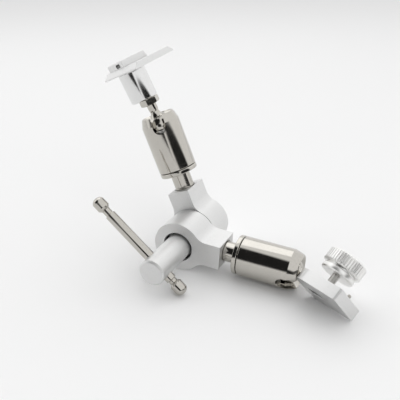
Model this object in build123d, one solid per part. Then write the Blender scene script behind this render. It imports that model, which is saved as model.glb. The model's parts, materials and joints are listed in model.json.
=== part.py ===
"""Articulated locking arm: two pivoting clamp blocks on one spindle, a slotted
ball housing on each arm, a head plate on the upper ball and a clamp plate with
a thumb screw on the lower ball.  Millimetres, +Z up, lying on its resting points."""
import os
from math import cos, pi, radians, sin, tan

from build123d import *

os.makedirs("parts", exist_ok=True)

# ---------------------------------------------------------------- driving sizes
BARREL_D = 23.5          # clamp block barrel
BLOCK_T = 16.0           # each block along the spindle
NECK_REACH = 20.6        # spindle axis to the end of a block's neck
NECK_W = 11.4
NECK_FILLET = 7.0         # flare from the neck into the barrel
SEAM = 0.3               # gap between the two blocks
LIP_T = 2.5              # front lip that holds the spindle in
LIP_BORE_D = 14.2
CAVITY_D = 17.0

SPINDLE_D = 11.8
SPINDLE_END = 40.6       # seam to the free end of the spindle
FLANGE_D = 16.9
BAR_AT = 33.7            # seam to the bar's cross hole
RUN = 0.05               # radial clearance of a running fit

BAR_D = 4.7
BAR_WAIST_D = 3.6        # neck between the bar and each knob
BAR_KNOB_D = 5.7
BAR_KNOB_L = 6.5
BAR_LONG = 39.6          # hole to the far tip of the bar
BAR_SHORT = 16.05        # hole to the near tip of the bar

SHAFT_D = 10.4           # wedge shaft body
SHAFT_PITCH = 1.25
TAPER = 20.0             # half angle of the two wedge cones
CONE_HALF = 2.4          # half length of each cone
ROD_D = 4.0              # push rods
WEDGE_R = 3.9            # cone radius under each rod

HOUSING_D = 18.0
STUB_D = 9.3
STUB_SUNK = 0.5            # stub's shoulder below the neck's end face
STUB_THREAD_D = 7.0      # stub's thread in the neck
STUB_IN = 14.2           # spindle axis to the inner end of the stub
LOWER_RING_AT = 26.3     # spindle axis to each arm's end ring
UPPER_RING_AT = 28.4
RING_T = 2.0
GROOVE = 0.3
HOUSING_L = 26.9
BALL_DEPTH = 5.3         # housing rim to the ball centre
BALL_D = 12.4
SLOT_W = 6.2
SLOT_DEPTH = 8.6
CORE_D = 14.0
CORE_L = 12.3            # journal inside the housing
SNAP_AT = 10.4           # journal foot to the snap ring groove
SEAT_T = 7.1

STEM_D = 4.6
STEM_IN = 7.5            # stem inside the head socket
SPIGOT_D = 3.4           # lower stud's end inside the clamp plate
SPIGOT_L = 3.5
NUT_AF = 8.2
NUT_AT = 10.8            # ball centre to the near face of the jam nut
NUT_T = 3.1
SOCKET_D = 12.7
SOCKET_T = 14.2
SOCKET_OFF = 1.6         # socket axis beside the stud axis
HEAD_X = 23.4
HEAD_Y = 24.8
HEAD_T = 2.8
HEAD_BEVEL = 2.5
PAD_X = 10.8             # raised pad on the head plate
PAD_Y = 15.6
PAD_T = 3.0
PAD_IN_X = 2.6           # head plate's edges to the pad
PAD_IN_Y = 2.6

CLAMP_AT = 10.2          # ball centre to the near end of the clamp plate
CLAMP_L = 23.0
CLAMP_W = 19.5
CLAMP_T = 5.2
SCREW_AT = 21.0          # ball centre to the thumb screw axis
SCREW_D = 3.4
WINDOW_L = 8.2           # window in the clamp plate that takes the held stem
WINDOW_W = 4.2
WINDOW_DEPTH = 2.7
KNOB_D = 17.0
KNOB_T = 5.9
KNOB_FLUTES = 40
FLANGE_KNOB_D = 14.8
FLANGE_KNOB_T = 2.3
KNOB_AT = 5.5            # clamp plate back to the knob flange

# ---------------------------------------------------------------- resting pose
SPINDLE_TURN = 25.0      # spindle's horizontal direction
LOWER_ARM = -3.05        # arm angles about the spindle, from level
UPPER_ARM = 112.5
BAR_ANGLE = -40.5
LOWER_TILT = (172.1, 31.2, -133.3)   # stud: bearing, tilt, spin in its housing
UPPER_TILT = (154.8, 5.6, 98.6)
LOWER_SLOT = 202.0       # slot bearings about the arm axes
UPPER_SLOT = 205.0

SPINDLE = Plane(origin=(0, 0, BARREL_D / 2),
                x_dir=(cos(radians(SPINDLE_TURN)), -sin(radians(SPINDLE_TURN)), 0),
                z_dir=(-sin(radians(SPINDLE_TURN)), -cos(radians(SPINDLE_TURN)), 0)).location


def arm_frame(angle, along):
    """Frame on the spindle axis with +Z out along the arm and +X to the rear."""
    return SPINDLE * Location((0, 0, along), (0, 0, angle)) * Location((0, 0, 0), (0, 90, 0))


def ball_at(ring_at):
    """Spindle axis to the ball centre of the arm whose end ring is at ring_at."""
    return ring_at + RING_T + GROOVE + HOUSING_L - BALL_DEPTH


def stud_frame(arm, ring_at, tilt):
    """Frame at the ball centre with +Z up the stud."""
    bearing, lean, spin = tilt
    return (arm * Location((0, 0, ball_at(ring_at)), (0, 0, bearing))
            * Location((0, 0, 0), (0, lean, 0)) * Location((0, 0, 0), (0, 0, spin)))


LOWER = arm_frame(LOWER_ARM, BLOCK_T / 2)
UPPER = arm_frame(UPPER_ARM, -BLOCK_T / 2)
LOWER_STUD = stud_frame(LOWER, LOWER_RING_AT, LOWER_TILT)
UPPER_STUD = stud_frame(UPPER, UPPER_RING_AT, UPPER_TILT)


def turned(*points):
    """Solid of revolution about Z from (radius, height) corners."""
    return revolve(Plane.XZ * make_face(Polyline(*points, close=True)), Axis.Z)


def rod(diameter, z0, z1, x=0.0, y=0.0):
    return Pos(x, y, (z0 + z1) / 2) * Cylinder(diameter / 2, z1 - z0)


def tube(outer, inner, z0, z1):
    return rod(outer, z0, z1) - rod(inner, z0 - 1, z1 + 1)


def cross_rod(diameter, x0, x1, z=0.0):
    """Cylinder along X at height z."""
    return Pos((x0 + x1) / 2, 0, z) * Rot(0, 90, 0) * Cylinder(diameter / 2, x1 - x0)


# ---------------------------------------------------------------- clamp blocks
def block_blank():
    """Barrel along Z with a flat-sided neck toward +X, one block thick."""
    outline = Circle(BARREL_D / 2) + Pos(NECK_REACH / 2, 0) * Rectangle(NECK_REACH, NECK_W)
    corners = [v for v in outline.vertices() if 1 < v.X < NECK_REACH - 1]
    outline = fillet(corners, NECK_FILLET)
    blank = extrude(outline, BLOCK_T - SEAM / 2)
    rims = blank.edges().filter_by(Plane.XY)
    return chamfer(rims, 0.35)


def front_block():
    body = Pos(0, 0, SEAM / 2) * block_blank()
    body -= rod(CAVITY_D, -1, BLOCK_T - LIP_T)
    body -= rod(LIP_BORE_D, 0, BLOCK_T + 1)
    body -= turned((0, BLOCK_T - 0.45), (LIP_BORE_D / 2, BLOCK_T - 0.45),
                   (LIP_BORE_D / 2 + 0.6, BLOCK_T + 0.15), (0, BLOCK_T + 0.15))
    body -= cross_rod(STUB_THREAD_D, STUB_IN - 0.2, NECK_REACH + 1, BLOCK_T / 2)
    body -= cross_rod(STUB_D + 0.8, NECK_REACH - STUB_SUNK, NECK_REACH + 1, BLOCK_T / 2)
    body -= cross_rod(ROD_D + 0.3, CAVITY_D / 2 - 2, STUB_IN + 1, BLOCK_T / 2)
    body -= cross_rod(2.0, -BARREL_D, -6, 3.0)
    return body


def rear_block():
    body = Pos(0, 0, SEAM / 2) * block_blank()
    body -= rod(CAVITY_D, -1, BLOCK_T - 3)
    body -= rod(19.0, BLOCK_T - 3, BLOCK_T + 1)
    body -= cross_rod(STUB_THREAD_D, STUB_IN - 0.2, NECK_REACH + 1, BLOCK_T / 2)
    body -= cross_rod(STUB_D + 0.8, NECK_REACH - STUB_SUNK, NECK_REACH + 1, BLOCK_T / 2)
    body -= cross_rod(ROD_D + 0.3, CAVITY_D / 2 - 2, STUB_IN + 1, BLOCK_T / 2)
    return body


def rear_cap():
    cap = rod(18.9, BLOCK_T - 2.95, BLOCK_T - 0.3)
    cap = chamfer(cap.edges().group_by(Axis.Z)[-1], 0.4)
    for x in (-6, 6):
        cap -= rod(2.0, BLOCK_T - 1.8, BLOCK_T, x)
    return cap


def wedge_radius(z):
    """Radius of the wedge shaft at spindle height z on the front cone."""
    return WEDGE_R + (BLOCK_T / 2 - z) * tan(radians(TAPER))


def wedge_shaft():
    """Non-turning shaft: front thread, front cone, guided body, rear cone, tail."""
    r = SHAFT_D / 2
    mid = BLOCK_T / 2
    lo, hi = mid - CONE_HALF, mid + CONE_HALF
    shaft = turned((0, 22), (2.6, 22), (2.95, 21.6), (2.95, hi), (wedge_radius(hi), hi),
                   (wedge_radius(lo), lo), (r, lo), (r, -lo + 0.3),
                   (wedge_radius(hi), -lo + 0.3), (wedge_radius(hi), -lo),
                   (wedge_radius(lo), -hi), (wedge_radius(lo), -11.2), (0, -11.2))
    keyway = Pos(-r, 0, 3.0) * Box(2.4, 2.3, 4.0)
    return shaft - keyway


def spindle():
    """Flanged spindle with an inner thread, the bar's cross hole and a turned end."""
    z0, z1 = 10.9, 12.85
    body = turned((3.05, z0), (FLANGE_D / 2 - 0.3, z0), (FLANGE_D / 2, z0 + 0.3), (FLANGE_D / 2, z1),
                  (SPINDLE_D / 2, z1), (SPINDLE_D / 2, SPINDLE_END - 0.8),
                  (SPINDLE_D / 2 - 0.8, SPINDLE_END), (0, SPINDLE_END), (0, 25), (3.05, 24))
    hole = Rot(0, 0, BAR_ANGLE) * cross_rod(BAR_D + 2 * RUN, -10, 10, BAR_AT)
    return body - hole


def bar():
    """Sliding bar along X through the spindle, waisted at each end."""
    a, b = -BAR_LONG + BAR_KNOB_L, BAR_SHORT - BAR_KNOB_L
    r, w = BAR_D / 2, BAR_WAIST_D / 2
    profile = turned((0, a - 3), (1.25, a - 3), (1.25, a), (w, a), (w, a + 2.6), (r, a + 2.9),
                     (r, b - 1.7), (w, b - 1.4), (w, b), (1.25, b), (1.25, b + 3), (0, b + 3))
    return profile


def bar_end():
    """Domed end knob, open at z=0 to take the bar's spigot."""
    r, n = BAR_KNOB_D / 2, BAR_KNOB_L
    body = turned((0, 0), (BAR_WAIST_D / 2, 0), (r, 1.1), (r, n - 2.2), (r * 0.88, n - 0.9),
                  (r * 0.55, n - 0.2), (0, n))
    body = fillet(body.edges().group_by(Axis.Z)[-2], 0.5)
    return body - rod(2.5, -1, 3.0)


# ---------------------------------------------------------------- arms
def core(ring_at):
    """Hollow stub from the block's neck, widening to the journal inside the housing."""
    foot = ring_at + RING_T + GROOVE
    top = foot + CORE_L
    seat = NECK_REACH - STUB_SUNK
    body = turned((0, STUB_IN), (STUB_THREAD_D / 2, STUB_IN), (STUB_THREAD_D / 2, seat),
                  (STUB_D / 2 - 0.3, seat), (STUB_D / 2, seat + 0.3), (STUB_D / 2, foot),
                  (CORE_D / 2, foot), (CORE_D / 2, top - 0.4), (CORE_D / 2 - 0.4, top), (0, top))
    body -= rod(ROD_D + 2 * RUN, STUB_IN - 1, top + 1)
    return body - tube(CORE_D + 2, CORE_D - 1.6, foot + SNAP_AT - 0.5, foot + SNAP_AT + 0.5)


def end_ring(ring_at):
    ring = tube(HOUSING_D, STUB_D, ring_at, ring_at + RING_T)
    return chamfer(ring.edges().filter_by(GeomType.CIRCLE).sort_by(lambda e: e.radius)[-2:], 0.25)


def snap_ring(ring_at):
    at = ring_at + RING_T + GROOVE + SNAP_AT
    ring = tube(CORE_D + 0.9, CORE_D - 1.5, at - 0.4, at + 0.4)
    return ring - Pos(CORE_D / 2, 0, at) * Box(4, 2.4, 2)


def housing(ring_at, bearing, mark_at):
    """Slotted ball housing: bored sleeve, spherical lip, flared mouth, U slot, scribed line."""
    r, bore = HOUSING_D / 2, CORE_D / 2 + RUN
    foot = ring_at + RING_T + GROOVE
    rim = foot + HOUSING_L
    ball = rim - BALL_DEPTH
    lip = BALL_D / 2 - 0.65
    shell = turned((bore, foot), (r - 0.25, foot), (r, foot + 0.25), (r, rim - 4.2),
                   (r - 1.3, rim - 0.35), (r - 1.65, rim), (r - 1.85, rim), (lip, ball + 2.9),
                   (lip, ball), (bore, ball), (bore, foot))
    shell -= Pos(0, 0, ball) * Sphere(BALL_D / 2 + 0.15)
    snap = foot + SNAP_AT
    shell -= tube(CORE_D + 1.3, 1.0, snap - 0.6, snap + 0.6)
    floor = rim - SLOT_DEPTH + SLOT_W / 2
    slot = Pos(r, 0, (floor + rim + 2) / 2) * Box(2 * r, SLOT_W, rim + 2 - floor)
    slot += Pos(r, 0, floor) * Rot(0, 90, 0) * Cylinder(SLOT_W / 2, 2 * r)
    mark = Rot(0, 0, mark_at) * Pos(r, 0, foot + 6.6) * Box(0.3, 0.22, 11)
    return shell - Rot(0, 0, bearing) * (slot + mark)


def rod_end(ring_at):
    """Outer end of the push rod, just past the end of the journal."""
    return ring_at + RING_T + GROOVE + CORE_L + 0.5


def push_rod(ring_at):
    """Rod from the wedge cone to the ball seat, with a domed inner tip."""
    tip = WEDGE_R + 0.45
    r, end = ROD_D / 2, rod_end(ring_at)
    return turned((0, tip), (0.7, tip + 0.2), (1.4, tip + 0.65), (r, tip + 1.5),
                  (r, end), (1.5, end), (1.5, end + 1.5), (0, end + 1.5))


def ball_seat(ring_at):
    """Cup between the push rod and the ball."""
    r, foot, top = CORE_D / 2 - 0.15, rod_end(ring_at), rod_end(ring_at) + SEAT_T
    cup = turned((0, foot), (r - 0.3, foot), (r, foot + 0.3), (r, top), (0, top))
    cup -= Pos(0, 0, ball_at(ring_at)) * Sphere(BALL_D / 2 + 0.12)
    return cup - rod(3.0, foot - 1, foot + 1.6)


def ball_stud(top):
    """Ball, waisted neck with a small collar, and a plain stem up to height top."""
    r = STEM_D / 2
    ball = BALL_D / 2
    neck = turned((0, ball - 2.2), (ball - 2.9, ball - 1.6), (2.35, ball), (2.05, ball + 1.0),
                  (r, ball + 2.2), (r, top), (0, top))
    return Sphere(BALL_D / 2) + neck


# ---------------------------------------------------------------- upper head
def jam_nut(at, af, thick, bore):
    nut = Pos(0, 0, at) * extrude(RegularPolygon(af / 2, 6, major_radius=False), thick)
    dome = turned((0, at), (af / 2 * 1.04, at), (af * 0.6, at + 0.45), (af * 0.6, at + thick - 0.45),
                  (af / 2 * 1.04, at + thick), (0, at + thick))
    return (nut & dome) - rod(bore, at - 1, at + thick + 1)


NUT_TOP = NUT_AT + NUT_T
SOCKET_TOP = NUT_TOP + SOCKET_T


def head_socket():
    """Off-centre turned socket between the jam nut and the head plate."""
    body = rod(SOCKET_D, NUT_TOP, SOCKET_TOP, SOCKET_OFF)
    body = chamfer(body.edges().group_by(Axis.Z)[0], 0.5)
    body = fillet(body.edges().group_by(Axis.Z)[-1], 0.3)
    body = Rot(0, 0, 230) * body
    return body - rod(STEM_D + 2 * RUN, NUT_TOP - 1, NUT_TOP + STEM_IN + 0.5)


HEAD_CX, HEAD_CY = 1.8, 2.1      # plate centre beside the stud axis
PAD_CX = HEAD_CX - HEAD_X / 2 + PAD_IN_X + PAD_X / 2
PAD_CY = HEAD_CY - HEAD_Y / 2 + PAD_IN_Y + PAD_Y / 2
PAD_Z = SOCKET_TOP + HEAD_T


def head_plate():
    """Flat plate with two bevelled ends and two tapped holes."""
    half, top = HEAD_Y / 2, HEAD_Y / 2 - HEAD_BEVEL
    profile = Polyline((-half, 0), (half, 0), (half, 0.6), (top, HEAD_T),
                       (-top, HEAD_T), (-half, 0.6), close=True)
    body = extrude(Plane.YZ * make_face(profile), HEAD_X / 2, both=True)
    body = Pos(HEAD_CX, HEAD_CY, SOCKET_TOP) * body
    for x in (4.0, 8.6):
        body -= rod(2.5, SOCKET_TOP - 1, SOCKET_TOP + 9, HEAD_CX + x, HEAD_CY + 5.4)
    return body - rod(3.0, SOCKET_TOP - 1, SOCKET_TOP + 9, PAD_CX, PAD_CY)


def head_pad():
    """Raised pad on the head plate: sloped far end, countersunk screw, slot in the near side."""
    profile = Polyline((-PAD_Y / 2, 0), (PAD_Y / 2, 0), (PAD_Y / 2 - 1.2, PAD_T),
                       (-PAD_Y / 2 + 0.3, PAD_T), (-PAD_Y / 2, PAD_T - 0.3), close=True)
    body = Pos(PAD_CX, PAD_CY, PAD_Z) * extrude(Plane.YZ * make_face(profile), PAD_X / 2, both=True)
    body -= rod(3.0, PAD_Z - 1, PAD_Z + 5, PAD_CX, PAD_CY)
    body -= turned_at((0, 1.5), (1.5, 1.5), (2.75, PAD_T), (2.75, PAD_T + 1), (0, PAD_T + 1))
    slot = Pos(PAD_CX + PAD_X / 2 - 3.4, PAD_CY - PAD_Y / 2, PAD_Z + 1.2) * Box(3.0, 5.0, 1.6)
    return body - fillet(slot.edges().filter_by(Axis.Y), 0.7)


def turned_at(*points):
    return Pos(PAD_CX, PAD_CY, PAD_Z) * turned(*points)


def head_screw():
    """Countersunk screw through pad and plate into the socket's side."""
    screw = turned_at((0, -HEAD_T + 0.1), (1.45, -HEAD_T + 0.1), (1.45, 1.5), (2.5, PAD_T - 0.1), (0, PAD_T - 0.1))
    hexagon = extrude(RegularPolygon(1.0, 6, major_radius=False), 2)
    return screw - Pos(PAD_CX, PAD_CY, PAD_Z + PAD_T - 1.4) * hexagon


# ---------------------------------------------------------------- lower clamp
CLAMP_X = -0.5                      # plate centre beside the stud axis
CLAMP_BACK = CLAMP_X + CLAMP_T / 2
CLAMP_FACE = CLAMP_X - CLAMP_T / 2
WINDOW_Z = SCREW_AT - 2.2
PIN_Y = -2.2


def clamp_plate():
    """Plate across the stud's end: tapped for the thumb screw, open window on the face."""
    body = Pos(CLAMP_X, 0, CLAMP_AT + CLAMP_L / 2) * Box(CLAMP_T, CLAMP_W, CLAMP_L)
    near = body.edges().filter_by(Axis.X).sort_by(Axis.Z)[:2].sort_by(Axis.Y)
    body = fillet(near[0], CLAMP_W * 0.18)
    body = fillet(body.edges().filter_by(Axis.X).group_by(Axis.Z)[0].sort_by(Axis.Y)[-1], CLAMP_W / 3)
    body = fillet(body.edges().filter_by(Axis.X).sort_by(Axis.Z)[-2:], 0.8)
    body = chamfer(body.faces().filter_by(Axis.X).edges(), 0.3)
    window = Pos(CLAMP_FACE + WINDOW_DEPTH / 2 - 0.5, 0, WINDOW_Z) * Box(WINDOW_DEPTH + 1, WINDOW_W, WINDOW_L)
    window = fillet(window.edges().filter_by(Axis.X), 1.6)
    body -= window
    body -= cross_rod(SCREW_D + 0.2, CLAMP_X - 1, CLAMP_BACK + 1, SCREW_AT)
    body -= rod(SPIGOT_D + 2 * RUN, CLAMP_AT - 1, CLAMP_AT + SPIGOT_L + 0.3)
    return body - Pos(0, PIN_Y, 0) * cross_rod(1.6, CLAMP_X, CLAMP_BACK + 1, CLAMP_AT + CLAMP_L - 3.2)


def guide_pin():
    """Small pin standing out of the back of the clamp plate."""
    pin = Pos(0, PIN_Y, 0) * cross_rod(1.6, CLAMP_X + 0.2, CLAMP_BACK + 2.2, CLAMP_AT + CLAMP_L - 3.2)
    return fillet(pin.edges().group_by(Axis.X)[-1], 0.4)


def thumb_stem():
    """Screw of the thumb knob, along +X."""
    return cross_rod(SCREW_D, CLAMP_BACK - 2.3, CLAMP_BACK + KNOB_AT + 6.0, SCREW_AT)


def thumb_knob():
    """Fluted knob with an undercut and a plain flange, along +X."""
    rd, rf = KNOB_D / 2, FLANGE_KNOB_D / 2
    z1 = FLANGE_KNOB_T
    z2 = z1 + 0.8
    z3 = z2 + KNOB_T
    body = turned((0, 0), (rf - 0.5, 0), (rf, 0.5), (rf, z1 - 0.3), (rf - 0.3, z1), (rf - 1.0, z1),
                  (rf - 1.0, z2), (rd - 0.6, z2), (rd, z2 + 0.6), (rd, z3 - 0.7), (rd - 0.7, z3),
                  (3.2, z3), (2.8, z3 - 0.5), (0, z3 - 0.5))
    flute = Pos(rd + 0.22, 0, z2 + KNOB_T / 2) * Rot(0, 0, 45) * Box(0.75, 0.75, KNOB_T + 2)
    cutters = [Rot(0, 0, 360 * i / KNOB_FLUTES) * flute for i in range(KNOB_FLUTES)]
    ring = tube(KNOB_D + 4, FLANGE_KNOB_D - 1.9, z2 - 0.05, z3 + 2)
    body -= Compound(cutters) & ring
    body -= rod(SCREW_D, -1, 6.0)
    return Pos(CLAMP_BACK + KNOB_AT, 0, SCREW_AT) * Rot(0, 90, 0) * body


def pressure_pad():
    """Swivel pad on the thumb screw's tip, inside the window."""
    x0 = CLAMP_BACK - 2.35
    return cross_rod(3.2, x0 - 0.9, x0, SCREW_AT)


# ---------------------------------------------------------------- assembly
def seat(shape, frame):
    return frame * shape


REAR = SPINDLE * Location((0, 0, 0), (0, 0, UPPER_ARM)) * Location((0, 0, 0), (180, 0, 0))
FRONT = SPINDLE * Location((0, 0, 0), (0, 0, LOWER_ARM))
BAR = SPINDLE * Location((0, 0, BAR_AT), (0, 0, BAR_ANGLE)) * Location((0, 0, 0), (0, 90, 0))

nodes = {
    "front_block": (front_block(), FRONT),
    "rear_block": (rear_block(), REAR),
    "rear_cap": (rear_cap(), REAR),
    "centre_bush": (tube(CAVITY_D - 2 * RUN, SHAFT_D + 2 * RUN, -5, 5) - cross_rod(2.0, -12, 0, 3.0), FRONT),
    "key_pin": (cross_rod(2.0, -BARREL_D / 2 + 0.5, -SHAFT_D / 2 + 0.9, 3.0), FRONT),
    "wedge_shaft": (wedge_shaft(), FRONT),
    "release_spring": (turned((3.0, -12.9), (7.6, -12.1), (7.6, -11.6), (3.0, -12.4)), FRONT),
    "thrust_washer": (tube(16.4, 12.4, 12.9, 13.45), FRONT),
    "spindle": (spindle(), SPINDLE),
    "sliding_bar": (bar(), BAR),
    "bar_end_long": (bar_end(), BAR * Location((0, 0, -BAR_LONG + BAR_KNOB_L), (180, 0, 0))),
    "bar_end_short": (bar_end(), BAR * Location((0, 0, BAR_SHORT - BAR_KNOB_L))),
}
for name, arm, ring_at, slot, mark in (("lower", LOWER, LOWER_RING_AT, LOWER_SLOT, 160),
                                       ("upper", UPPER, UPPER_RING_AT, UPPER_SLOT, -24)):
    for piece in (core, end_ring, snap_ring, push_rod, ball_seat):
        nodes[f"{name}_{piece.__name__}"] = (piece(ring_at), arm)
    nodes[name + "_housing"] = (housing(ring_at, slot, mark), arm)
nodes["upper_ball_stud"] = (ball_stud(NUT_TOP + STEM_IN), UPPER_STUD)
nodes["jam_nut"] = (jam_nut(NUT_AT, NUT_AF, NUT_T, STEM_D + 2 * RUN), UPPER_STUD)
nodes["head_socket"] = (head_socket(), UPPER_STUD)
nodes["head_plate"] = (head_plate(), UPPER_STUD)
nodes["head_pad"] = (head_pad(), UPPER_STUD)
nodes["head_screw"] = (head_screw(), UPPER_STUD)
nodes["lower_ball_stud"] = (ball_stud(CLAMP_AT - 0.1) + rod(SPIGOT_D, CLAMP_AT - 0.2, CLAMP_AT + SPIGOT_L), LOWER_STUD)
nodes["clamp_plate"] = (clamp_plate(), LOWER_STUD)
nodes["guide_pin"] = (guide_pin(), LOWER_STUD)
nodes["thumb_stem"] = (thumb_stem(), LOWER_STUD)
nodes["thumb_knob"] = (thumb_knob(), LOWER_STUD)
nodes["pressure_pad"] = (pressure_pad(), LOWER_STUD)

placed = {name: seat(shape, frame) for name, (shape, frame) in nodes.items()}
box = Compound(list(placed.values())).bounding_box()
centre = Location((-(box.min.X + box.max.X) / 2, -(box.min.Y + box.max.Y) / 2, -box.min.Z))
for name, shape in placed.items():
    export_step(centre * shape, f"parts/{name}.step")
print("overall", [round(v, 2) for v in (box.size.X, box.size.Y, box.size.Z)])
print("spindle origin", [round(v, 3) for v in (centre * SPINDLE).position])
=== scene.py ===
"""Visual model of the articulated locking arm: turned, milled and polished metal
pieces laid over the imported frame, with a pale floor and soft studio light."""

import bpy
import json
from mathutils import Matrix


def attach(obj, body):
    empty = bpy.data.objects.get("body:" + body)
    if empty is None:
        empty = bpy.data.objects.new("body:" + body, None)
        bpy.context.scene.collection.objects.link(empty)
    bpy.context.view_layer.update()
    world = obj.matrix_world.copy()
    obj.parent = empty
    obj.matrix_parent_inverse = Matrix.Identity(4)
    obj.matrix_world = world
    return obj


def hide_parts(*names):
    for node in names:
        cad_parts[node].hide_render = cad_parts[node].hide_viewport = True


bl_info = {
    "name": "Articulated Locking Arm",
    "version": (1, 0, 0),
    "blender": (4, 5, 0),
    "location": "3D View > Sidebar > Locking Arm",
    "description": "Builds the pieces of an articulated locking arm and its stage",
    "category": "Object",
}

import json
import math
import bmesh
import bpy
from bpy.props import FloatProperty, FloatVectorProperty, IntProperty, PointerProperty
from mathutils import Matrix, Vector

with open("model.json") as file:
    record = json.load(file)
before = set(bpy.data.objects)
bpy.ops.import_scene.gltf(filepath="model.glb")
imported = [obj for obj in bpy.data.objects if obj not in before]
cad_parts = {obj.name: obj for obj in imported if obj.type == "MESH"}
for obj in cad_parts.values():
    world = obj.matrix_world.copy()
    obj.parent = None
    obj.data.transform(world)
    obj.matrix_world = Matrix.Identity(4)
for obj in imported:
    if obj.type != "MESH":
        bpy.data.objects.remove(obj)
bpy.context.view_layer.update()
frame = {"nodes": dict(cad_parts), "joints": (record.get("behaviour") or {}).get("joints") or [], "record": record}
JOINTS = {j["name"]: j for j in frame["joints"]}
MOUNTS = {m["name"]: m for m in frame["record"]["mounts"]}
SEAT_NAMES = {}
MM = 0.001
TAU = 2 * math.pi


# ---------------------------------------------------------------- where pieces sit
def seat(origin, z_axis, x_axis):
    """Placement with its Z along z_axis and its X as near x_axis as it can be."""
    z = Vector(z_axis).normalized()
    x = Vector(x_axis)
    x = (x - z * x.dot(z)).normalized()
    y = z.cross(x)
    place = Matrix((x, y, z)).transposed().to_4x4()
    place.translation = Vector(origin)
    return place


def joint_axis(name):
    return Vector(JOINTS[name]["axis"])


def joint_point(name):
    return Vector(JOINTS[name]["pos_m"])


PIVOT = joint_point("rear_arm_turn")
FORWARD = joint_axis("rear_arm_turn")
SWIVEL_UP_ARM = 40 * MM      # the swivel joints are stated this far out along each arm
HOLE_IN = Vector(MOUNTS["head_hole_inner"]["pos_m"])
HOLE_OUT = Vector(MOUNTS["head_hole_outer"]["pos_m"])
FRONT_SEAT = seat(PIVOT, FORWARD, joint_axis("lower_swivel"))
REAR_SEAT = seat(PIVOT, -FORWARD, joint_axis("upper_swivel"))
ARM_SEATS = {
    side: seat(joint_point(f"{side}_swivel") - joint_axis(f"{side}_swivel") * SWIVEL_UP_ARM,
               joint_axis(f"{side}_swivel"), -FORWARD)
    for side in ("lower", "upper")
}
LOWER_STUD_SEAT = seat(joint_point("lower_tilt"), joint_axis("clamp_spin"), joint_axis("thumb_turn"))
UPPER_STUD_SEAT = seat(joint_point("upper_tilt"), joint_axis("head_spin"), HOLE_OUT - HOLE_IN)


# ---------------------------------------------------------------- sizes and colours
def length(name, default_mm, description):
    return FloatProperty(name=name, description=description, default=default_mm * MM,
                         unit="LENGTH", subtype="DISTANCE", precision=5)


def colour(name, default, description):
    return FloatVectorProperty(name=name, description=description, default=default,
                               subtype="COLOR", size=3, min=0.0, max=1.0)


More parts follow.
